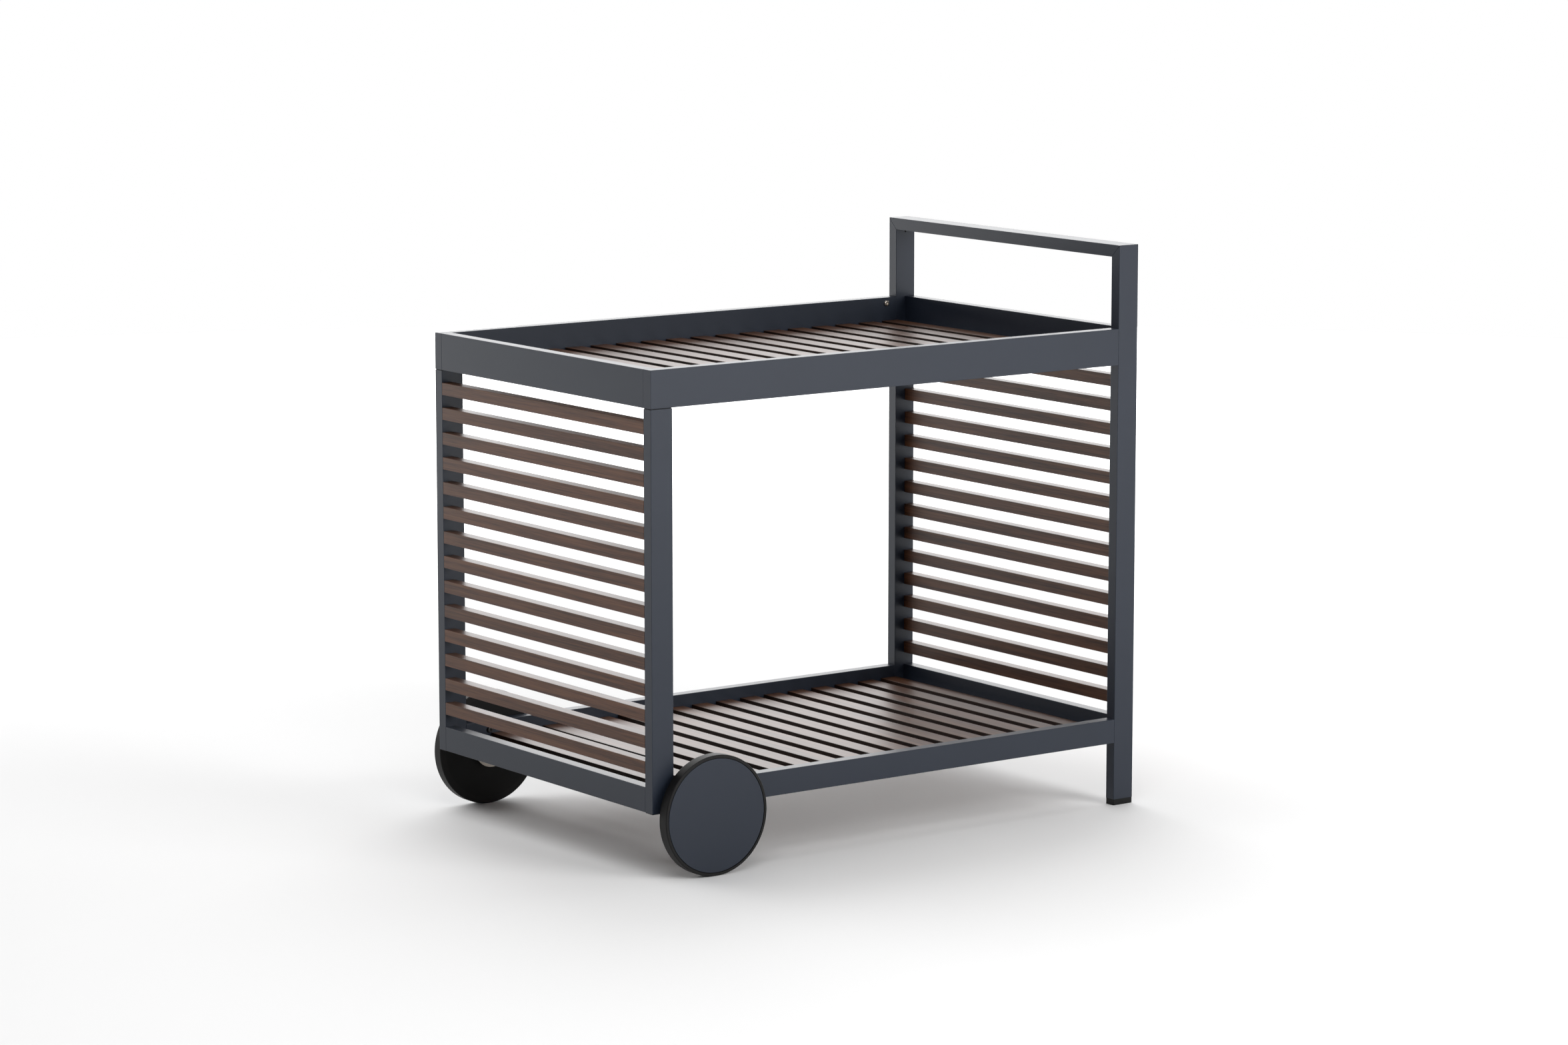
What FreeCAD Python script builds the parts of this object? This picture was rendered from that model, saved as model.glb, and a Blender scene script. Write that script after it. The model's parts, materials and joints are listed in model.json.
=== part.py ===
"""A two-deck serving trolley: a tube frame, wooden slats and two disc wheels.

Millimetres, +Z up. The origin is on the floor under the middle of the trolley. +X runs from the
wheel end to the handle end, and +Y from the front to the back.
"""

import FreeCAD, Part
import math
import os
from FreeCAD import Vector

os.makedirs("parts", exist_ok=True)

# ---------------------------------------------------------------- driving dimensions
# Whole trolley
frame_length = 970.0          # outer faces of the two end frames
frame_width = 620.0           # front face to back face of the tubes
total_height = 935.0          # floor to the top of the handle bar
tray_top = 798.0              # floor to the top edge of the tray rails
shelf_top = 146.0             # floor to the top edge of the shelf rails

# Tube sections, all of one thickness
tube_thickness = 20.0
leg_depth = 40.0              # leg and handle bar, along X
tray_rail_height = 60.0
shelf_rail_height = 40.0
tube_wall = 2.0
tube_edge_radius = 0.7
end_chamfer = 0.4             # on the outer edges of a tube that is butted to another
mitre_seam_width = 0.3        # cut back from each side of a mitre, round the outside
mitre_seam_depth = 0.6

# Slats
end_slat_count = 14
end_slat_height = 20.0
end_slat_thickness = 20.0
deck_slat_count = 18
deck_slat_width = 32.5
deck_slat_thickness = 20.0
slat_edge_radius = 0.7
slat_end_gap = 0.4            # between a slat and the tube at each end

# Tenons in the slat ends
tenon_thickness = 5.0
deck_tenon_width = 16.0
end_tenon_height = 12.0
tenon_reach = 10.0            # out of the tube
tenon_past_wall = 4.0         # into the bore of the tube
tenon_bottom_gap = 0.5        # left at the bottom of the slat's mortise

# Insert blocks in the tubes
insert_gap = 0.2              # between a block and the bore that it slides into
spigot_length = 40.0
spigot_bolt_gap = 2.0         # between a shelf spigot and the plate bolt beside it
connector_flange = 1.2        # the dark seam under the tray corners
connector_flange_inset = 1.0
connector_leg_reach = 35.0
end_cap_thickness = 2.0
end_cap_edge_radius = 0.5
key_leg_reach = 45.0
key_bar_reach = 60.0
grub_hole_radius = 2.6
grub_screw_radius = 2.5
grub_screw_length = 5.0
grub_screw_drop = 3.0         # its axis below the underside of the handle bar
grub_recess = 1.6             # its face behind the tube's face
hex_key_small = 2.5

# Frame screws, button heads with a hexagon socket
screw_radius = 3.0
screw_head_radius = 5.25
screw_head_height = 3.3
screw_head_rounding = 2.0
screw_socket = 4.0            # across flats
screw_socket_depth = 2.0
screw_tip_gap = 4.0           # from a frame screw's tip to the far face of its tube
flat_head_radius = 6.0         # of the countersunk screws under the shelf rails
flat_head_height = 3.0
thread_gap = 0.05
clearance_hole_radius = 3.3
tray_screw_setback = 21.5     # from the leg's face to the screw's axis
tray_screw_drop = 10.0        # from the tray rail's top to the screw's axis
connector_screw_room = 3.75   # between that screw's head and the short tray rail

# Feet and plugs
foot_height = 10.0
foot_inset = 0.3
foot_edge_radius = 0.7
plug_reach = 25.0
leg_plug_lip = 1.0
leg_plug_inset = 0.8

# Wheels
wheel_radius = 96.0
wheel_width = 19.0
wheel_setback = 102.5         # from the wheel end to the axle
wheel_gap = 8.5               # between the frame's face and the wheel
tyre_depth = 11.0             # of the rubber, along the radius
tyre_edge_radius = 1.5
tyre_face = 4.8               # of rubber seen round the cover
cover_thickness = 2.0
cover_edge_radius = 0.6
cover_gap = 0.9               # dark line between the cover and the tyre
boss_radius = 17.0
hub_pocket_radius = 20.0
bush_wall = 2.0
bush_spacing = 0.7            # between the two bushes of a wheel
bush_flange_radius = 11.0
bush_flange_thickness = 1.5
running_gap = 0.05            # on the radius, between the pin and the bushes
end_float = 0.3               # along the axle, between the wheel and its washers

# Axle
axle_radius = 6.0
axle_end_chamfer = 0.8
washer_radius = 12.0
washer_thickness = 1.0
thin_washer_thickness = 1.0
ring_thickness = 1.0
ring_radius = 8.5
ring_groove_depth = 0.6
axle_tip = 1.9                # of the pin past the ring
axle_end_gap = 1.3            # between the pin's end and the cover
plate_thickness = 4.0
plate_radius = 33.0
plate_top_margin = 3.0        # below the shelf rail's top
plate_edge_radius = 0.8
plate_bolt_spacing = 35.0
plate_bolt_drop = 14.5        # from the shelf rail's top to the bolt axis

# ---------------------------------------------------------------- places that follow
wheel_end = -frame_length / 2
handle_end = frame_length / 2
front = -frame_width / 2
back = frame_width / 2
inner_front = front + tube_thickness
inner_back = back - tube_thickness
slat_front = inner_front + slat_end_gap
slat_back = inner_back - slat_end_gap
deck_start = wheel_end + tube_thickness
deck_end = handle_end - tube_thickness
wheel_leg_inner = wheel_end + leg_depth
handle_leg_inner = handle_end - leg_depth
tray_bottom = tray_top - tray_rail_height
shelf_bottom = shelf_top - shelf_rail_height
wheel_leg_top = tray_bottom - connector_flange
bar_bottom = total_height - tube_thickness
axle_x = wheel_end + wheel_setback
bolt_z = shelf_top - plate_bolt_drop
near_bolt_x = axle_x - plate_bolt_spacing / 2
shelf_spigot_spans = (
    (wheel_leg_inner, near_bolt_x - screw_radius - spigot_bolt_gap),
    (handle_leg_inner - spigot_length, handle_leg_inner),
)
connector_screw_x = wheel_end + tube_thickness + screw_head_radius + connector_screw_room
spigot_screw_x = handle_leg_inner - tray_screw_setback
x_axis = Vector(1, 0, 0)
y_axis = Vector(0, 1, 0)
z_axis = Vector(0, 0, 1)
screw_length = tube_thickness - screw_tip_gap
tenon_tip = tube_wall + tenon_past_wall
over = 2 * tube_thickness     # how far a cutting block reaches past what it cuts


# ---------------------------------------------------------------- building blocks
def block(x0, x1, y0, y1, z0, z1):
    """A box between two corners."""
    return Part.makeBox(x1 - x0, y1 - y0, z1 - z0, Vector(x0, y0, z0))


def edges_along(shape, axis):
    """The straight edges of a box that run along one axis."""
    found = []
    for edge in shape.Edges:
        step = edge.Vertexes[-1].Point - edge.Vertexes[0].Point
        if step.Length > 0 and abs(abs(step.dot(axis)) - step.Length) < 1e-6:
            found.append(edge)
    return found


def edges_in_plane(shape, axis, place):
    """The edges that lie wholly in one plane across an axis."""
    found = []
    for edge in shape.Edges:
        points = [edge.valueAt(edge.FirstParameter + share * (edge.LastParameter - edge.FirstParameter))
                  for share in (0.0, 0.3, 0.6, 1.0)]
        if all(abs(point.dot(axis) - place) < 1e-6 for point in points):
            found.append(edge)
    return found


def rounded(shape, axis, radius):
    """A box with its four edges along one axis rounded."""
    return shape.makeFillet(radius, edges_along(shape, axis))


def shrink(bounds, axis, amount):
    """Bounds drawn in on the two directions across the axis."""
    x0, x1, y0, y1, z0, z1 = bounds
    dx = 0 if axis is x_axis else amount
    dy = 0 if axis is y_axis else amount
    dz = 0 if axis is z_axis else amount
    return (x0 + dx, x1 - dx, y0 + dy, y1 - dy, z0 + dz, z1 - dz)


def tube(bounds, axis):
    """A rectangular tube that fills the bounds, open at both ends."""
    outer = rounded(block(*bounds), axis, tube_edge_radius)
    return outer.cut(block(*shrink(bounds, axis, tube_wall)))


def butted(shape, point, normal):
    """A tube with a small chamfer round the end face that lies in the given plane."""
    for face in shape.Faces:
        if not isinstance(face.Surface, Part.Plane):
            continue
        parallel = face.Surface.Axis.cross(normal).Length < 1e-6
        if parallel and abs((face.CenterOfMass - point).dot(normal)) < 1e-6:
            return shape.makeChamfer(end_chamfer, face.OuterWire.Edges)
    return shape


def bar(bounds, axis, radius):
    """A solid bar with its long edges rounded."""
    return rounded(block(*bounds), axis, radius)


def rod(point, axis, radius, length):
    """A solid cylinder that starts at a point and runs along a direction."""
    return Part.makeCylinder(radius, length, point, axis)


def ring(point, axis, bore, radius, length):
    """A plain washer or sleeve."""
    return rod(point, axis, radius, length).cut(rod(point, axis, bore, length))


def hexagon(point, axis, across_flats, length):
    """A hexagonal prism that starts at a point and runs along a direction."""
    corner = across_flats / math.sqrt(3)
    points = []
    for i in range(7):
        angle = math.radians(60 * i)
        points.append(Vector(corner * math.cos(angle), corner * math.sin(angle), 0))
    prism = Part.Face(Part.makePolygon(points)).extrude(Vector(0, 0, length))
    prism.Placement = FreeCAD.Placement(point, FreeCAD.Rotation(z_axis, axis))
    return prism


def button_screw(seat, axis, length):
    """A button-head screw whose head sits on a face at seat and whose shank runs along axis."""
    head = rod(seat, axis * -1, screw_head_radius, screw_head_height)
    rim = []
    for edge in head.Edges:
        centre = edge.BoundBox.Center
        if edge.Closed and (centre - seat).dot(axis * -1) > screw_head_height / 2:
            rim.append(edge)
    head = head.makeFillet(screw_head_rounding, rim)
    top = seat - axis * screw_head_height
    head = head.cut(hexagon(top, axis, screw_socket, screw_socket_depth))
    return head.fuse(rod(seat, axis, screw_radius, length))


def flat_screw(seat, axis, length):
    """A countersunk screw whose head is flush with a face at seat and whose shank runs along axis."""
    head = Part.makeCone(flat_head_radius, screw_radius, flat_head_height, seat, axis)
    head = head.cut(hexagon(seat, axis, screw_socket, screw_socket_depth))
    return head.fuse(rod(seat + axis * flat_head_height, axis, screw_radius, length - flat_head_height))


def flat_screw_room(seat, axis, length):
    """The countersink and the hole for such a screw."""
    large = flat_head_radius + thread_gap
    small = screw_radius + thread_gap
    return Part.makeCone(large, small, flat_head_height, seat, axis).fuse(rod(seat, axis, small, length))


def save(name, *solids):
    """Writes one node: a solid, or a group of separate solids."""
    shape = solids[0] if len(solids) == 1 else Part.makeCompound(list(solids))
    shape.exportStep("parts/" + name + ".step")


# ---------------------------------------------------------------- spacing of the slats
def even_starts(low, high, width, count):
    """Where each of count slats starts when all the gaps between low and high are equal."""
    gap = (high - low - width * count) / (count + 1)
    return [low + gap + i * (width + gap) for i in range(count)]


end_slat_bottoms = even_starts(shelf_top, tray_bottom, end_slat_height, end_slat_count)
deck_slat_starts = even_starts(deck_start, deck_end, deck_slat_width, deck_slat_count)


# ---------------------------------------------------------------- slats and tenons
def end_slats(outer_face, inward):
    """The slats of one end frame, flush with its outer face, from the lowest up."""
    near = min(outer_face, outer_face + inward * end_slat_thickness)
    slats = []
    for z in end_slat_bottoms:
        bounds = (near, near + end_slat_thickness, slat_front, slat_back, z, z + end_slat_height)
        slats.append(bar(bounds, y_axis, slat_edge_radius))
    return slats


def deck_slats(bottom):
    """The slats of one deck, which span from rail to rail."""
    slats = []
    for x in deck_slat_starts:
        bounds = (x, x + deck_slat_width, slat_front, slat_back, bottom, bottom + deck_slat_thickness)
        slats.append(bar(bounds, y_axis, slat_edge_radius))
    return slats


def tenon_pair(x, z, size_x, size_z, deeper, room):
    """The two tenons of one slat, or a cutter for them.

    deeper lengthens them into the slat, and room makes them larger everywhere else.
    """
    x0, x1 = x - size_x / 2 - room, x + size_x / 2 + room
    z0, z1 = z - size_z / 2 - room, z + size_z / 2 + room
    tip = tenon_tip + room
    root = tenon_reach + deeper
    return [
        block(x0, x1, inner_front - tip, inner_front + root, z0, z1),
        block(x0, x1, inner_back - root, inner_back + tip, z0, z1),
    ]


def end_tenons(outer_face, inward, deeper=0.0, room=0.0):
    """All tenons of one end frame's slats."""
    x = outer_face + inward * end_slat_thickness / 2
    pairs = []
    for z in end_slat_bottoms:
        middle = z + end_slat_height / 2
        pairs += tenon_pair(x, middle, tenon_thickness, end_tenon_height, deeper, room)
    return pairs


def deck_tenons(bottom, deeper=0.0, room=0.0):
    """All tenons of one deck's slats."""
    z = bottom + deck_slat_thickness / 2
    pairs = []
    for x in deck_slat_starts:
        middle = x + deck_slat_width / 2
        pairs += tenon_pair(middle, z, deck_tenon_width, tenon_thickness, deeper, room)
    return pairs


def tenon_room(tenons):
    """One cutter made of many tenons."""
    return Part.makeCompound(tenons)


def mortised(slats, tenons):
    """Slats with a mortise cut for each tenon; slat i holds tenons 2i and 2i + 1."""
    return [slat.cut(tenons[2 * i]).cut(tenons[2 * i + 1]) for i, slat in enumerate(slats)]


def front_or_back(tenons, side):
    """The tenons that enter the front tubes, or those that enter the back tubes."""
    return tenon_room(tenons[0::2] if side < 0 else tenons[1::2])


# ---------------------------------------------------------------- frame tubes
def mitre_wedge(side, sign):
    """A prism on one side of a mitre: sign is 1 for above it and -1 for below it."""
    outer = Vector(handle_leg_inner - over, side * frame_width / 2, total_height)
    down_the_mitre = Vector(0, -side, -1)
    top = outer - down_the_mitre * over
    foot = outer + down_the_mitre * 2 * over
    corner = Vector(top.x, foot.y, top.z) if sign > 0 else Vector(top.x, top.y, foot.z)
    face = Part.Face(Part.makePolygon([top, corner, foot, top]))
    return face.extrude(Vector(leg_depth + 2 * over, 0, 0))


def mitre_cut(bounds, axis, side, sign):
    """What to cut from a tube at one mitre: all beyond it, and a fine rebate round the outside."""
    wedge = mitre_wedge(side, sign)
    along = Vector(0, side, -1)
    along.normalize()
    deeper = wedge.translated(along * sign * mitre_seam_width)
    return wedge.fuse(deeper.cut(block(*shrink(bounds, axis, mitre_seam_depth))))


def leg_span(side):
    """The front and back faces of the tubes on one side."""
    return (front, inner_front) if side < 0 else (inner_back, back)


def wheel_end_leg(side, tenons):
    """A short leg, from the shelf rail's underside up to the connector's flange."""
    y0, y1 = leg_span(side)
    leg = tube((wheel_end, wheel_leg_inner, y0, y1, shelf_bottom, wheel_leg_top), z_axis)
    return leg.cut(tenons)


def handle_end_leg(side, tenons):
    """A long leg, from the foot up to the mitre, with the grub screw's hole."""
    y0, y1 = leg_span(side)
    bounds = (handle_leg_inner, handle_end, y0, y1, foot_height, total_height)
    return tube(bounds, z_axis).cut(mitre_cut(bounds, z_axis, side, 1)).cut(tenons).cut(grub_hole(side))


def handle_bar():
    """The handle bar, mitred at both ends."""
    bounds = (handle_leg_inner, handle_end, front, back, bar_bottom, total_height)
    whole = tube(bounds, y_axis)
    for side in (-1, 1):
        whole = whole.cut(mitre_cut(bounds, y_axis, side, -1))
    return whole


def tray_rail_long(side, tenons):
    """A front or back tray rail, from its end cap to the handle-end leg."""
    y0, y1 = leg_span(side)
    rail = tube((wheel_end + end_cap_thickness, handle_leg_inner, y0, y1, tray_bottom, tray_top), x_axis)
    rail = butted(rail, Vector(handle_leg_inner, 0, 0), x_axis)
    rail = rail.cut(tenons).cut(connector_window(side))
    for x in tray_screw_places():
        rail = rail.cut(tray_screw_hole(side, x, clearance_hole_radius))
    return rail


def shelf_rail_long(side, tenons):
    """A front or back shelf rail, between the legs, drilled for its screws and the plate's bolts."""
    y0, y1 = leg_span(side)
    rail = tube((wheel_leg_inner, handle_leg_inner, y0, y1, shelf_bottom, shelf_top), x_axis)
    for x in (wheel_leg_inner, handle_leg_inner):
        rail = butted(rail, Vector(x, 0, 0), x_axis)
    rail = rail.cut(tenons)
    for x in shelf_screw_places():
        rail = rail.cut(shelf_screw_hole(side, x))
    for x in plate_bolt_places():
        rail = rail.cut(rod(Vector(x, y0, bolt_z), y_axis, clearance_hole_radius, tube_thickness))
    return rail


def short_rail(outer_face, inward, bottom, top):
    """A rail across one end, between the front and back tubes."""
    x0 = min(outer_face, outer_face + inward * tube_thickness)
    rail = tube((x0, x0 + tube_thickness, inner_front, inner_back, bottom, top), y_axis)
    for y in (inner_front, inner_back):
        rail = butted(rail, Vector(0, y, 0), y_axis)
    return rail


def tray_end_cap(side):
    """A plate that closes a long tray rail at the wheel end, with a step inside the bore."""
    y0, y1 = leg_span(side)
    plate_x = wheel_end + end_cap_thickness
    plate = bar((wheel_end, plate_x, y0, y1, tray_bottom, tray_top), x_axis, tube_edge_radius)
    plate = plate.makeFillet(end_cap_edge_radius, edges_in_plane(plate, x_axis, wheel_end))
    step_bounds = (plate_x, plate_x + end_cap_thickness, y0, y1, tray_bottom, tray_top)
    step = block(*shrink(step_bounds, x_axis, tube_wall + insert_gap))
    return plate.fuse(step)


# ---------------------------------------------------------------- joints of the frame
def tray_screw_places():
    """Where the two screws of a long tray rail lie: in the connector, and in the spigot."""
    return (connector_screw_x, spigot_screw_x)


def shelf_screw_places():
    """Where the screws under a long shelf rail lie, in the middle of each spigot."""
    return [(x0 + x1) / 2 for x0, x1 in shelf_spigot_spans]


def tray_screw_hole(side, x, radius):
    """A hole through the inner wall of a long tray rail and on into what it holds."""
    seat = Vector(x, side * inner_back, tray_top - tray_screw_drop)
    return rod(seat, y_axis * side, radius, screw_length + thread_gap)


def tray_screw(side, x):
    """A screw whose head lies on the inner face of a long tray rail."""
    seat = Vector(x, side * inner_back, tray_top - tray_screw_drop)
    return button_screw(seat, y_axis * side, screw_length)


def shelf_screw_point(side, x):
    """Where a screw's axis meets the underside of a long shelf rail."""
    return Vector(x, side * (back - tube_thickness / 2), shelf_bottom)


def shelf_screw_hole(side, x):
    """A countersunk hole up through a long shelf rail's lower wall and into the spigot."""
    return flat_screw_room(shelf_screw_point(side, x), z_axis, screw_length + thread_gap)


def shelf_screw(side, x):
    """A screw driven up through the underside of a long shelf rail, flush with it."""
    return flat_screw(shelf_screw_point(side, x), z_axis, screw_length)


def tray_spigot(side):
    """A block that stands on the handle-end leg inside the long tray rail."""
    y0, y1 = leg_span(side)
    bounds = (handle_leg_inner - spigot_length, handle_leg_inner, y0, y1, tray_bottom, tray_top)
    spigot = block(*shrink(bounds, x_axis, tube_wall + insert_gap))
    spigot = spigot.cut(tray_screw_hole(side, spigot_screw_x, screw_radius + thread_gap))
    return spigot.cut(tenon_room(deck_tenons(tray_bottom, room=insert_gap)))


def shelf_spigot(side, x0, x1):
    """A block that stands on a leg inside the long shelf rail, drilled for its screw."""
    y0, y1 = leg_span(side)
    bounds = (x0, x1, y0, y1, shelf_bottom, shelf_top)
    spigot = block(*shrink(bounds, x_axis, tube_wall + insert_gap))
    spigot = spigot.cut(shelf_screw_hole(side, (x0 + x1) / 2))
    return spigot.cut(tenon_room(deck_tenons(shelf_bottom, room=insert_gap)))


def connector_window(side):
    """The opening in the underside of a long tray rail that the connector passes through."""
    y0, y1 = leg_span(side)
    bounds = (wheel_end, wheel_leg_inner, y0, y1, tray_bottom, tray_bottom + tube_wall)
    return block(*shrink(bounds, z_axis, tube_wall))


def leg_connector(side):
    """A block that joins a wheel-end leg to the tray rail, with a thin flange between them."""
    y0, y1 = leg_span(side)
    inset = tube_wall + insert_gap
    x0, x1 = wheel_end + inset, wheel_leg_inner - inset
    foot_z = wheel_leg_top - connector_leg_reach
    in_leg = block(x0, x1, y0 + inset, y1 - inset, foot_z, tray_bottom)
    clear_of_cap = wheel_end + 2 * end_cap_thickness + insert_gap
    in_rail = block(max(x0, clear_of_cap), x1, y0 + inset, y1 - inset, tray_bottom, tray_top - inset)
    flange_bounds = (wheel_end, wheel_leg_inner, y0, y1, wheel_leg_top, tray_bottom)
    flange = block(*shrink(flange_bounds, z_axis, connector_flange_inset))
    whole = in_leg.fuse([in_rail, flange]).removeSplitter()
    whole = whole.cut(tray_screw_hole(side, connector_screw_x, screw_radius + thread_gap))
    whole = whole.cut(tenon_room(deck_tenons(tray_bottom, room=insert_gap)))
    return whole.cut(tenon_room(end_tenons(wheel_end, 1, room=insert_gap)))


def corner_key(side):
    """An angle inside the mitre that ties the handle bar to its leg."""
    y0, y1 = leg_span(side)
    inset = tube_wall + insert_gap
    x0, x1 = handle_leg_inner + inset, handle_end - inset
    upright = block(x0, x1, y0 + inset, y1 - inset, bar_bottom - key_leg_reach, total_height - inset)
    outer = side * (back - inset)
    tip = outer - side * key_bar_reach
    arm = block(x0, x1, min(outer, tip), max(outer, tip), bar_bottom + inset, total_height - inset)
    return upright.fuse(arm).removeSplitter().cut(grub_hole(side))


def grub_point(side):
    """Where the grub screw's axis meets the leg's inner face."""
    return Vector(handle_end - leg_depth / 2, side * inner_back, bar_bottom - grub_screw_drop)


def grub_hole(side):
    """The hole for the grub screw, through the leg's wall and into the key."""
    return rod(grub_point(side), y_axis * side, grub_hole_radius, grub_recess + grub_screw_length)


def grub_screw(side):
    """A socket set screw, a little below the face of the leg."""
    start = grub_point(side) + y_axis * side * grub_recess
    screw = rod(start, y_axis * side, grub_screw_radius, grub_screw_length)
    return screw.cut(hexagon(start, y_axis * side, hex_key_small, screw_socket_depth))


# ---------------------------------------------------------------- feet and plugs
def foot(side):
    """A black foot under a handle-end leg, with a plug that enters the tube."""
    y0, y1 = leg_span(side)
    pad_bounds = (handle_leg_inner, handle_end, y0, y1, 0.0, foot_height)
    pad = rounded(block(*shrink(pad_bounds, z_axis, foot_inset)), z_axis, foot_edge_radius)
    plug_bounds = (handle_leg_inner, handle_end, y0, y1, foot_height, foot_height + plug_reach)
    return pad.fuse(block(*shrink(plug_bounds, z_axis, tube_wall + insert_gap)))


def leg_plug(side):
    """A black plug that closes a wheel-end leg from below."""
    y0, y1 = leg_span(side)
    lip_bounds = (wheel_end, wheel_leg_inner, y0, y1, shelf_bottom - leg_plug_lip, shelf_bottom)
    lip = block(*shrink(lip_bounds, z_axis, leg_plug_inset))
    plug_bounds = (wheel_end, wheel_leg_inner, y0, y1, shelf_bottom, shelf_bottom + plug_reach)
    return lip.fuse(block(*shrink(plug_bounds, z_axis, tube_wall + insert_gap)))


# ---------------------------------------------------------------- wheels and axles
# Distances along the axle, outward from the frame's face. The pocket is as deep as what it holds.
hub_start = plate_thickness + washer_thickness + end_float
boss_start = hub_start + bush_flange_thickness
wheel_outer = wheel_gap + wheel_width
cover_start = wheel_outer - cover_thickness
axle_end = cover_start - axle_end_gap
ring_start = axle_end - axle_tip - ring_thickness
thin_washer_start = ring_start - thin_washer_thickness
hub_end = thin_washer_start - end_float
pocket_floor = hub_end - bush_flange_thickness
bush_length = (pocket_floor - boss_start - bush_spacing) / 2

# Radii of the wheel and its bushes.
cover_radius = wheel_radius - tyre_face - cover_gap
core_radius = wheel_radius - tyre_depth
bush_bore = axle_radius + running_gap
bush_radius = bush_bore + bush_wall


def plate_bolt_places():
    """The two bolts of an axle plate, along X."""
    return (near_bolt_x, near_bolt_x + plate_bolt_spacing)


def outward(side, distance):
    """A point on the axle, at a distance outward from the frame's face."""
    return Vector(axle_x, side * (back + distance), wheel_radius)


def along_axle(side, radius, start, end):
    """A cylinder on the axle between two distances from the frame's face."""
    return rod(outward(side, start), y_axis * side, radius, end - start)


def turned(side, profile):
    """A solid turned on the axle from a closed profile of (radius, distance) points."""
    points = [Vector(axle_x + r, side * (back + s), wheel_radius) for r, s in profile]
    points.append(points[0])
    face = Part.Face(Part.makePolygon(points))
    return face.revolve(outward(side, 0), y_axis, 360)


def fillet_circles(shape, places, radius):
    """Rounds the full circles at the given (radius, distance) places."""
    edges = []
    for edge in shape.Edges:
        if not isinstance(edge.Curve, Part.Circle):
            continue
        for r, y in places:
            if abs(edge.Curve.Radius - r) < 1e-6 and abs(edge.Curve.Center.y - y) < 1e-6:
                edges.append(edge)
    return shape.makeFillet(radius, edges)


def tyre(side):
    """The rubber ring, stepped on its outer side for the painted cover."""
    rebate = wheel_radius - tyre_face
    shape = turned(side, [
        (core_radius, wheel_gap), (wheel_radius, wheel_gap), (wheel_radius, wheel_outer),
        (rebate, wheel_outer), (rebate, cover_start), (core_radius, cover_start),
    ])
    edges = [(wheel_radius, side * (back + wheel_gap)), (wheel_radius, side * (back + wheel_outer))]
    return fillet_circles(shape, edges, tyre_edge_radius)


def wheel_disc(side):
    """The plastic disc inside the tyre, with a boss towards the frame and a pocket behind the cover."""
    return turned(side, [
        (bush_radius, boss_start), (boss_radius, boss_start), (boss_radius, wheel_gap),
        (core_radius, wheel_gap), (core_radius, cover_start), (hub_pocket_radius, cover_start),
        (hub_pocket_radius, pocket_floor), (bush_radius, pocket_floor),
    ])


def wheel_cover(side):
    """The painted disc that lies in the tyre's step."""
    cover = along_axle(side, cover_radius, cover_start, wheel_outer)
    return fillet_circles(cover, [(cover_radius, side * (back + wheel_outer))], cover_edge_radius)


def inner_bush(side):
    """The flanged bush on the frame's side."""
    end = boss_start + bush_length
    return turned(side, [
        (bush_bore, hub_start), (bush_flange_radius, hub_start), (bush_flange_radius, boss_start),
        (bush_radius, boss_start), (bush_radius, end), (bush_bore, end),
    ])


def outer_bush(side):
    """The flanged bush in the pocket."""
    start = pocket_floor - bush_length
    return turned(side, [
        (bush_bore, start), (bush_radius, start), (bush_radius, pocket_floor),
        (bush_flange_radius, pocket_floor), (bush_flange_radius, hub_end), (bush_bore, hub_end),
    ])


def axle_plate(side):
    """The stainless plate: round below, about the axle, and square above, on the shelf rail."""
    plate_top = shelf_top - plate_top_margin
    disc = along_axle(side, plate_radius, 0.0, plate_thickness)
    near, far = sorted((side * back, side * (back + plate_thickness)))
    upper = block(axle_x - plate_radius, axle_x + plate_radius, near, far, wheel_radius, plate_top)
    plate = disc.fuse(upper).removeSplitter()
    rim = edges_in_plane(plate, y_axis, side * (back + plate_thickness))
    plate = plate.makeFillet(plate_edge_radius, rim)
    plate = plate.cut(along_axle(side, axle_radius, 0.0, plate_thickness))
    for x in plate_bolt_places():
        start = Vector(x, side * back, bolt_z)
        plate = plate.cut(rod(start, y_axis * side, screw_radius + thread_gap, plate_thickness))
    return plate


def plate_bolt(side, x):
    """A bolt from the inside of the shelf rail into the thread of the axle plate."""
    seat = Vector(x, side * inner_back, bolt_z)
    return button_screw(seat, y_axis * side, tube_thickness + plate_thickness)


def axle_pin(side):
    """The pin, fixed in the plate, with a groove for the retaining ring."""
    root = axle_radius - ring_groove_depth
    point = axle_radius - axle_end_chamfer
    return turned(side, [
        (0.0, 0.0), (axle_radius, 0.0), (axle_radius, ring_start), (root, ring_start),
        (root, ring_start + ring_thickness), (axle_radius, ring_start + ring_thickness),
        (axle_radius, axle_end - axle_end_chamfer), (point, axle_end), (0.0, axle_end),
    ])


def inner_washer(side):
    """The washer between the plate and the wheel."""
    return ring(outward(side, plate_thickness), y_axis * side, bush_bore, washer_radius, washer_thickness)


def outer_washer(side):
    """The thin washer under the retaining ring."""
    start = outward(side, thin_washer_start)
    return ring(start, y_axis * side, bush_bore, washer_radius, thin_washer_thickness)


def retaining_ring(side):
    """The ring that keeps the wheel on its pin."""
    bore = axle_radius - ring_groove_depth
    return ring(outward(side, ring_start), y_axis * side, bore, ring_radius, ring_thickness)


# ---------------------------------------------------------------- the whole trolley
def save_end_slats(name, slats):
    """Writes the wheel end's slats one by one, from the lowest up, and the other end's as a group."""
    if name == "wheel_end":
        for number, slat in enumerate(slats, start=1):
            save("wheel_end_slat_%02d" % number, slat)
    else:
        save(name + "_slats", *slats)


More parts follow.
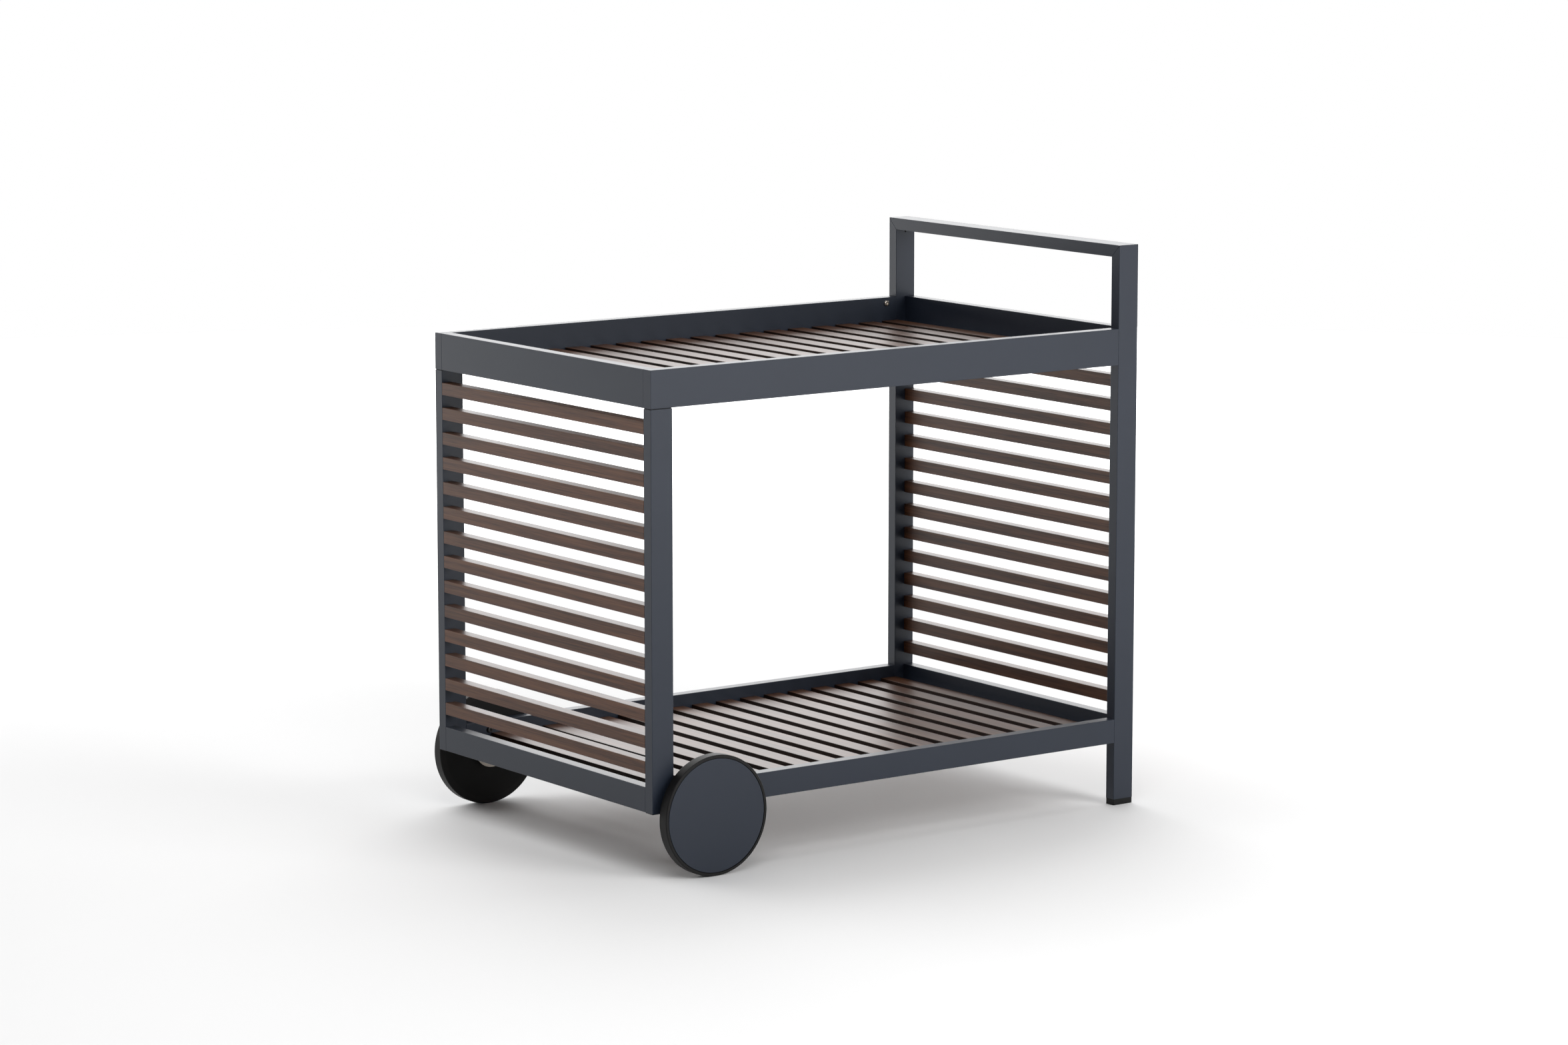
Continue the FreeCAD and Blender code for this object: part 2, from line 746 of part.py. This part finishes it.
def save_slats_and_tenons():
    """Writes the slats and tenons, and returns the tenons that the tubes are slotted for."""
    groups = {}
    for name, face, inward in (("wheel_end", wheel_end, 1), ("handle_end", handle_end, -1)):
        tenons = end_tenons(face, inward)
        slats = mortised(end_slats(face, inward), end_tenons(face, inward, deeper=tenon_bottom_gap))
        save_end_slats(name, slats)
        save(name + "_slat_tenons", *tenons)
        groups[name] = tenons
    for name, bottom in (("tray", tray_bottom), ("shelf", shelf_bottom)):
        tenons = deck_tenons(bottom)
        slats = mortised(deck_slats(bottom), deck_tenons(bottom, deeper=tenon_bottom_gap))
        save(name + "_deck_slats", *slats)
        save(name + "_slat_tenons", *tenons)
        groups[name] = tenons
    return groups


def save_side(side, word, groups):
    """Writes the tubes of the front or the back."""
    save("wheel_end_leg_" + word, wheel_end_leg(side, front_or_back(groups["wheel_end"], side)))
    save("handle_end_leg_" + word, handle_end_leg(side, front_or_back(groups["handle_end"], side)))
    save("tray_rail_" + word, tray_rail_long(side, front_or_back(groups["tray"], side)))
    save("shelf_rail_" + word, shelf_rail_long(side, front_or_back(groups["shelf"], side)))


def save_wheel(side, word):
    """Writes one wheel and what it turns on."""
    save("tyre_" + word, tyre(side))
    save("wheel_disc_" + word, wheel_disc(side))
    save("wheel_cover_" + word, wheel_cover(side))
    save("wheel_bushes_" + word, inner_bush(side), outer_bush(side))
    save("axle_plate_" + word, axle_plate(side))
    save("axle_pin_" + word, axle_pin(side))


def main():
    groups = save_slats_and_tenons()
    for side, word in ((-1, "front"), (1, "back")):
        save_side(side, word, groups)
        save_wheel(side, word)
    save("handle_bar", handle_bar())
    save("tray_rail_wheel_end", short_rail(wheel_end, 1, tray_bottom, tray_top))
    save("tray_rail_handle_end", short_rail(handle_end, -1, tray_bottom, tray_top))
    save("shelf_rail_wheel_end", short_rail(wheel_end, 1, shelf_bottom, shelf_top))
    save("shelf_rail_handle_end", short_rail(handle_end, -1, shelf_bottom, shelf_top))
    both = (-1, 1)
    save("tray_rail_end_caps", *[tray_end_cap(side) for side in both])
    save("handle_corner_keys", *[corner_key(side) for side in both])
    save("grub_screws", *[grub_screw(side) for side in both])
    save("tray_rail_spigots", *[tray_spigot(side) for side in both])
    save("shelf_rail_spigots", *[shelf_spigot(side, *span) for side in both for span in shelf_spigot_spans])
    save("leg_top_connectors", *[leg_connector(side) for side in both])
    save("tray_screws", *[tray_screw(side, x) for side in both for x in tray_screw_places()])
    save("shelf_screws", *[shelf_screw(side, x) for side in both for x in shelf_screw_places()])
    save("feet", *[foot(side) for side in both])
    save("leg_plugs", *[leg_plug(side) for side in both])
    save("plate_bolts", *[plate_bolt(side, x) for side in both for x in plate_bolt_places()])
    washers = [inner_washer(side) for side in both] + [outer_washer(side) for side in both]
    save("axle_washers", *washers)
    save("retaining_rings", *[retaining_ring(side) for side in both])


main()
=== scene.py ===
# %% [markdown]
# # A serving trolley in Blender
# The trolley is a painted tube frame with two slatted decks, slatted ends and two disc wheels.
# Its shapes come from the CAD model, which is loaded here as it is. Blender gives each part the
# look of what it is made of: powder coat, stained hardwood, rubber, plastic and stainless steel.
# Everything is in metres, +X runs from the wheel end to the handle and +Z is up.

# %% Load the CAD model
import json
import math

import bmesh
import bpy
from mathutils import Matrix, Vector

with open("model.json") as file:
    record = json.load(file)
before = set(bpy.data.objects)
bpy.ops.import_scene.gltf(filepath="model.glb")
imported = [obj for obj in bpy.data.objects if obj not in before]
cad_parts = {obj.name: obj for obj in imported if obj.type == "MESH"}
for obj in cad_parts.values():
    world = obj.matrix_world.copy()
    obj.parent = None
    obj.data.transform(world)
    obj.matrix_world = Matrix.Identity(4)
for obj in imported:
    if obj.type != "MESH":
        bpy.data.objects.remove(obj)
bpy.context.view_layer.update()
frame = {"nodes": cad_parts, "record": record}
nodes = frame["nodes"]

# %% [markdown]
# ## Camera
# The picture is taken from the front and the wheel end, from a little above, with a long lens
# that keeps the tubes nearly parallel. A camera could be aimed by a constraint, but a place, a
# turn and a tilt in plain numbers are easier to match to a photograph.

# %% Place the camera
sensor_width_mm = 36.0
lens_mm = 108.55
camera_place = (-4.5317, -6.2078, 1.6950)
camera_turn = math.radians(-36.0841)
camera_tilt = math.radians(8.992)

camera_data = bpy.data.cameras.new("trolley_camera")
camera_data.sensor_fit = "HORIZONTAL"
camera_data.sensor_width = sensor_width_mm
camera_data.lens = lens_mm
camera = bpy.data.objects.new("trolley_camera", camera_data)
camera.location = camera_place
camera.rotation_euler = (math.radians(90) - camera_tilt, 0, camera_turn)
bpy.context.scene.collection.objects.link(camera)
bpy.context.scene.camera = camera
print("camera at", camera_place, "lens", lens_mm, "mm")

# %% [markdown]
# ## Colours and nodes
# A colour picked from a swatch is an sRGB hex value, and Blender's shaders work with linear light,
# so one function turns the one into the other. Node trees get long when every node takes four
# lines, so one more function adds a node with its settings and its links in a single call.

# %% Colour and node helpers
def linear(hex_colour):
    """An sRGB hex colour as the linear RGBA that a shader takes."""
    channels = [int(hex_colour[i:i + 2], 16) / 255 for i in (1, 3, 5)]
    return [c / 12.92 if c <= 0.04045 else ((c + 0.055) / 1.055) ** 2.4 for c in channels] + [1.0]


def add_node(tree, kind, inputs=None, **settings):
    """Adds one node: settings are its own properties, inputs are numbers or other nodes' outputs."""
    node = tree.nodes.new(kind)
    for name, value in settings.items():
        setattr(node, name, value)
    for name, value in (inputs or {}).items():
        if isinstance(value, bpy.types.NodeSocket):
            tree.links.new(value, node.inputs[name])
        else:
            node.inputs[name].default_value = value
    return node


print("mid grey #808080 in linear light:", [round(c, 3) for c in linear("#808080")])

# %% [markdown]
# ## Studio
# The trolley stands in a white studio on a flat sheet of pale paper. The paper could curve up
# behind it, but that shows as a wall from other sides. So it lies flat, and far from the trolley,
# where the lamps don't reach, it glows a little and melts into the white surround.

# %% Floor
floor_radius = 7.0
floor_corners = 96            # so many that the sheet's edge looks round
floor_mesh = bpy.data.meshes.new("studio_floor")
floor_shape = bmesh.new()
bmesh.ops.create_circle(floor_shape, cap_ends=True, segments=floor_corners, radius=floor_radius)
floor_shape.to_mesh(floor_mesh)
floor_shape.free()
floor = bpy.data.objects.new("studio_floor", floor_mesh)
bpy.context.scene.collection.objects.link(floor)
print("floor radius", floor_radius, "m")

# %% Paper
glow_start = 2.0              # metres from the trolley, where the paper starts to glow
glow_full = 5.0               # metres from the trolley, where it glows in full
glow_strength = 0.8
floor_paper = bpy.data.materials.new("matt_white_paper")
floor_paper.use_nodes = True
paper_shader = floor_paper.node_tree.nodes["Principled BSDF"]
paper_shader.inputs["Base Color"].default_value = linear("#f0f0f0")
paper_shader.inputs["Roughness"].default_value = 0.9
paper_shader.inputs["Specular IOR Level"].default_value = 0.1
paper_shader.inputs["Emission Color"].default_value = linear("#ffffff")
paper_tree = floor_paper.node_tree
spot = add_node(paper_tree, "ShaderNodeTexCoord").outputs["Object"]
distance = add_node(paper_tree, "ShaderNodeVectorMath", {0: spot}, operation="LENGTH")
glow = add_node(paper_tree, "ShaderNodeMapRange", {
    "Value": distance.outputs["Value"], "From Min": glow_start, "From Max": glow_full,
    "To Min": 0.0, "To Max": glow_strength}, interpolation_type="SMOOTHSTEP")
paper_tree.links.new(glow.outputs["Result"], paper_shader.inputs["Emission Strength"])
floor_mesh.materials.append(floor_paper)
print("the paper glows from", glow_start, "to", glow_full, "m")

# %% [markdown]
# ## Light
# All of the light is soft. A wide patch of sky overhead gives the floor its shadow, and large
# panels around the trolley give each side of a tube its own tone. Those behind it matter most:
# level surfaces are seen at a grazing angle, where even dark paint reflects like a mirror, so
# they turn the tops of the rails and slats pale. One picture of a studio wrapped around the scene
# would also do, but panels in plain numbers can be moved one by one to match a photograph.

# %% White surround
surround_lighting = 0.04      # what the surround gives as light
surround_seen = 1.0           # what a camera sees of it, above the floor's far edge
surround = bpy.data.worlds.new("white_surround")
surround.use_nodes = True
surround_tree = surround.node_tree
seen = add_node(surround_tree, "ShaderNodeLightPath").outputs["Is Camera Ray"]
strength = add_node(surround_tree, "ShaderNodeMapRange", {
    "Value": seen, "To Min": surround_lighting, "To Max": surround_seen})
background = surround_tree.nodes["Background"]
background.inputs["Color"].default_value = linear("#ffffff")
surround_tree.links.new(strength.outputs["Result"], background.inputs["Strength"])
bpy.context.scene.world = surround
bpy.context.scene.view_settings.view_transform = "Standard"
print("surround gives", surround_lighting, "as light and shows as", surround_seen)


# %% Panels and sky
def soft_panel(name, place, aim, width, height, radiance):
    """A rectangular soft light at place that faces aim. radiance is how bright its face is."""
    panel = bpy.data.lights.new(name, "AREA")
    panel.shape = "RECTANGLE"
    panel.size = width
    panel.size_y = height
    panel.energy = radiance * math.pi * width * height
    thing = bpy.data.objects.new(name, panel)
    thing.location = place
    thing.rotation_euler = (Vector(aim) - Vector(place)).to_track_quat("-Z", "Y").to_euler()
    thing.visible_camera = False
    bpy.context.scene.collection.objects.link(thing)


def wide_sky(name, tilt, spread, radiance):
    """Soft light from overhead, tilted back. spread is the width of the patch of sky. Degrees."""
    sky = bpy.data.lights.new(name, "SUN")
    sky.energy = radiance * math.pi
    sky.angle = math.radians(spread)
    thing = bpy.data.objects.new(name, sky)
    thing.rotation_euler = (math.radians(tilt), 0, 0)
    bpy.context.scene.collection.objects.link(thing)


wide_sky("sky_behind", -35, 90, 0.66)
soft_panel("back_panel", (4.2, 5.8, 2.6), (0, 0, 0.7), 7.0, 3.6, 3.4)
soft_panel("back_panel_low", (0, 4.0, 0.6), (0, 0, 0.2), 3.0, 1.0, 5.6)
soft_panel("back_left_panel_low", (-1.5, 3.8, 0.6), (0, 0, 0.2), 2.5, 1.0, 0.5)
soft_panel("near_panel", (-1.4, -2.0, 2.4), (0, 0, 0.8), 1.8, 1.2, 3.6)
soft_panel("front_panel", (1.5, -4.5, 2.2), (0, 0, 0.6), 2.5, 2.5, 6.0)
soft_panel("front_panel_low", (1.6, -3.2, 0.7), (0, 0, 0.3), 3.0, 1.0, 1.4)
soft_panel("left_floor_light", (-3.0, 4.2, 2.6), (-3.0, 4.2, 0), 3.0, 3.0, 1.0)
soft_panel("right_panel", (4.0, -1.0, 2.0), (0, 0, 0.6), 2.0, 2.0, 0.9)
soft_panel("right_panel_low", (3.8, 0.6, 0.5), (0, 0, 0.2), 2.5, 0.9, 9.0)

# %% [markdown]
# ## Powder coat
# The frame is aluminium tube with a baked polyester powder coat in blue-grey. Powder melts into a
# skin that is satin, not mirror smooth, with a very fine "orange peel". A plain Principled shader
# with a small noise bump gives both. Its colour also varies a little over a hand's width.

# %% Powder coat
def new_finish(name):
    """An empty material with a Principled shader, its tree and its object-space coordinates."""
    finish = bpy.data.materials.new(name)
    finish.use_nodes = True
    tree = finish.node_tree
    place = add_node(tree, "ShaderNodeTexCoord").outputs["Object"]
    return finish, tree, tree.nodes["Principled BSDF"], place


powder_coat, tree, shader, place = new_finish("powder_coated_aluminium")
peel_cell = 0.0012            # metres, one cell of the orange peel
peel_height = 0.00002         # metres
tone_patch = 0.12             # metres, a patch of slightly different tone
patch = add_node(tree, "ShaderNodeTexNoise", {
    "Vector": place, "Scale": 1 / tone_patch, "Detail": 3.0})
tone = add_node(tree, "ShaderNodeMix", {
    "Factor": patch.outputs["Fac"],
    "A": linear("#1e2531"), "B": linear("#222936")}, data_type="RGBA")
tree.links.new(tone.outputs["Result"], shader.inputs["Base Color"])
peel = add_node(tree, "ShaderNodeTexNoise", {"Vector": place, "Scale": 1 / peel_cell, "Detail": 1.0})
bump = add_node(tree, "ShaderNodeBump", {
    "Height": peel.outputs["Fac"], "Distance": peel_height, "Strength": 0.5})
tree.links.new(bump.outputs["Normal"], shader.inputs["Normal"])
shader.inputs["Roughness"].default_value = 0.40
shader.inputs["IOR"].default_value = 1.42
print("powder coat peel", peel_cell * 1000, "mm")

# %% [markdown]
# ## Stained hardwood
# The slats are planed hardwood, stained dark brown and lacquered. Three things make the look: long
# pores, fine as hairs; a broader figure that drifts along the board; and a tone of its own for
# every slat, because each is cut from another board. A stretched noise gives the first two. For
# the third, the coordinate across the slats is cut into cells as wide as the slats' spacing, and
# each cell gets one random number, which shifts the tone and moves the grain. In the decks, the
# sides that face the next slat are darkened as painted shade, for the narrow gap between slats.

# %% Stained hardwood
pore_width = 0.0012           # metres across the grain; real pores are about a quarter of this,
                              # and are drawn coarser here so that they show in the render
pore_depth = 0.0001           # metres
figure_width = 0.007          # metres across the grain, one band of the figure
grain_stretch = 0.02          # along the grain a line is 1 / 0.02 = 50 times as long as wide
board_spread = 0.07           # how far one board's brightness strays from the mean


def stained_hardwood(name, axis, first_cell, spacing, painted_gap_shade=None):
    """Hardwood with its grain along Y, one tone for each cell of the slats' spacing on an axis.

    The last argument darkens the sides that face the next slat: painted shade for the narrow gap
    between slats.
    """
    finish, tree, shader, place = new_finish(name)
    across = add_node(tree, "ShaderNodeSeparateXYZ", {"Vector": place}).outputs[axis]
    cell = add_node(tree, "ShaderNodeMath", {0: across, 1: first_cell}, operation="SUBTRACT")
    cell = add_node(tree, "ShaderNodeMath", {0: cell.outputs[0], 1: spacing}, operation="DIVIDE")
    cell = add_node(tree, "ShaderNodeMath", {0: cell.outputs[0]}, operation="FLOOR")
    board = add_node(tree, "ShaderNodeTexWhiteNoise", {"W": cell.outputs[0]}, noise_dimensions="1D")
    moved = add_node(tree, "ShaderNodeVectorMath", {
        0: place, 1: board.outputs["Color"]}, operation="ADD")
    along = add_node(tree, "ShaderNodeMapping", {
        "Vector": moved.outputs["Vector"], "Scale": (1.0, grain_stretch, 1.0)}).outputs["Vector"]
    pores = add_node(tree, "ShaderNodeTexNoise", {
        "Vector": along, "Scale": 1 / pore_width, "Detail": 3.0, "Roughness": 0.6})
    figure = add_node(tree, "ShaderNodeTexNoise", {
        "Vector": along, "Scale": 1 / figure_width, "Detail": 2.0, "Distortion": 0.6})
    grain = add_node(tree, "ShaderNodeMix", {
        "Factor": 0.5, "A": pores.outputs["Fac"], "B": figure.outputs["Fac"]}, data_type="FLOAT")
    ramp = add_node(tree, "ShaderNodeValToRGB", {"Fac": grain.outputs["Result"]})
    ramp.color_ramp.elements[0].position = 0.36
    ramp.color_ramp.elements[0].color = linear("#3a2318")
    ramp.color_ramp.elements[1].position = 0.62
    ramp.color_ramp.elements[1].color = linear("#613f2a")
    shade = add_node(tree, "ShaderNodeMapRange", {
        "Value": board.outputs["Value"], "To Min": 1 - board_spread, "To Max": 1 + board_spread})
    tone = add_node(tree, "ShaderNodeHueSaturation", {
        "Color": ramp.outputs["Color"], "Value": shade.outputs["Result"]})
    # Painted shade: a deck slat's sides that face the next slat are darkened as if shaded by the
    # gap.
    if painted_gap_shade:
        normal = add_node(tree, "ShaderNodeTexCoord").outputs["Normal"]
        facing = add_node(tree, "ShaderNodeSeparateXYZ", {"Vector": normal}).outputs[axis]
        facing = add_node(tree, "ShaderNodeMath", {0: facing}, operation="ABSOLUTE").outputs[0]
        side = add_node(tree, "ShaderNodeMapRange", {
            "Value": facing, "From Min": 0.6, "From Max": 0.8, "To Min": 1.0, "To Max": painted_gap_shade})
        tone = add_node(tree, "ShaderNodeHueSaturation", {
            "Color": tone.outputs["Color"], "Value": side.outputs["Result"]})
    tree.links.new(tone.outputs["Color"], shader.inputs["Base Color"])
    bump = add_node(tree, "ShaderNodeBump", {
        "Height": pores.outputs["Fac"], "Distance": pore_depth, "Strength": 0.35})
    tree.links.new(bump.outputs["Normal"], shader.inputs["Normal"])
    shader.inputs["Roughness"].default_value = 0.40
    shader.inputs["IOR"].default_value = 1.45
    shader.inputs["Specular IOR Level"].default_value = 0.34
    return finish


# The cells start half a gap before the first slat: 18 slats between the deck's ends, 14 in each
# end frame, as far apart as the CAD model has them.
# In the decks, the sides facing the next slat are darkened to 0.22 of the wood's tone as painted
# shade for the gap.
deck_wood = stained_hardwood("stained_hardwood_deck", "X", -0.4559, 0.05066, painted_gap_shade=0.22)
end_wood = stained_hardwood("stained_hardwood_ends", "Z", 0.1564, 0.0408)
print("pores", pore_width * 1000, "mm, figure", figure_width * 1000, "mm")

# %% [markdown]
# ## Rubber, plastic and metal
# The small parts each have one colour, which a fine grain varies by a fifth. Rubber and moulded
# plastic differ mostly in gloss. Stainless steel is a metal with a soft, satin shine, and the
# screws that hold the wheels and the handle have a black oxide skin. A texture of a mould or of
# fine brushing is about 0.2 mm, too fine to show, so the grain is drawn at 0.6 to 1 mm.

# %% Plain finishes
grain_dark = 0.8              # the darkest grain against the finish's own colour
grain_height = 0.00005        # metres


def plain_finish(name, colour, roughness, metallic, grain, gloss=0.5):
    """A finish of one tone that a fine grain varies. grain is its size in metres.

    A gloss of 0.5 is that of a clean surface, and less is for skins that are dusty or matt.
    """
    finish, tree, shader, place = new_finish(name)
    speck = add_node(tree, "ShaderNodeTexNoise", {
        "Vector": place, "Scale": 1 / grain, "Detail": 4.0})
    darker = [c * grain_dark for c in linear(colour)[:3]] + [1.0]
    tone = add_node(tree, "ShaderNodeMix", {
        "Factor": speck.outputs["Fac"], "A": darker, "B": linear(colour)}, data_type="RGBA")
    tree.links.new(tone.outputs["Result"], shader.inputs["Base Color"])
    bump = add_node(tree, "ShaderNodeBump", {
        "Height": speck.outputs["Fac"], "Distance": grain_height, "Strength": 0.5})
    tree.links.new(bump.outputs["Normal"], shader.inputs["Normal"])
    shader.inputs["Roughness"].default_value = roughness
    shader.inputs["Metallic"].default_value = metallic
    shader.inputs["Specular IOR Level"].default_value = gloss
    return finish


# Moulded rubber is almost black and a little dusty, so its highlight is wide and weak.
rubber = plain_finish("moulded_rubber", "#0b0a0a", 0.55, 0.0, 0.001, gloss=0.27)
# The wheel's plastic comes from a spark-eroded mould, which leaves it matt and a deeper black.
black_plastic = plain_finish("moulded_black_plastic", "#040404", 0.60, 0.0, 0.001, gloss=0.27)
# Undyed nylon is milky white with a waxy shine.
nylon = plain_finish("natural_nylon", "#d8d4c8", 0.45, 0.0, 0.001)
# Brushed stainless steel mirrors the room in a soft blur and is slightly warm.
stainless = plain_finish("brushed_stainless_steel", "#c4bcb2", 0.28, 1.0, 0.0006)
# Oiled black oxide hides the metal, so it shines like a dark lacquer.
black_steel = plain_finish("black_oxide_steel", "#1c1b1a", 0.45, 0.0, 0.0006)
# Aluminium as it leaves the mill is cool, pale and satin.
aluminium = plain_finish("mill_aluminium", "#c4c6c8", 0.38, 1.0, 0.0008)
print("finishes:", [finish.name for finish in bpy.data.materials])

# %% [markdown]
# ## Assignment
# The CAD record says which material slot each node belongs to, so one table from slot to finish
# dresses the whole trolley. Only the wood asks one thing more: whether a slat lies in a deck or
# stands in an end frame, because that decides how its boards are told apart.

# %% Give every node its finish
slot_finish = {
    "frame_paint": powder_coat,
    "tyre_rubber": rubber,
    "wheel_plastic": black_plastic,
    "black_plastic": black_plastic,
    "nylon": nylon,
    "stainless_steel": stainless,
    "black_steel": black_steel,
    "bare_aluminium": aluminium,
}
for part in frame["record"]["subparts"]:
    name = part["node"]
    finish = slot_finish.get(part["material_slot"])
    if finish is None:
        finish = deck_wood if "deck" in name else end_wood
    nodes[name].data.materials.clear()
    nodes[name].data.materials.append(finish)
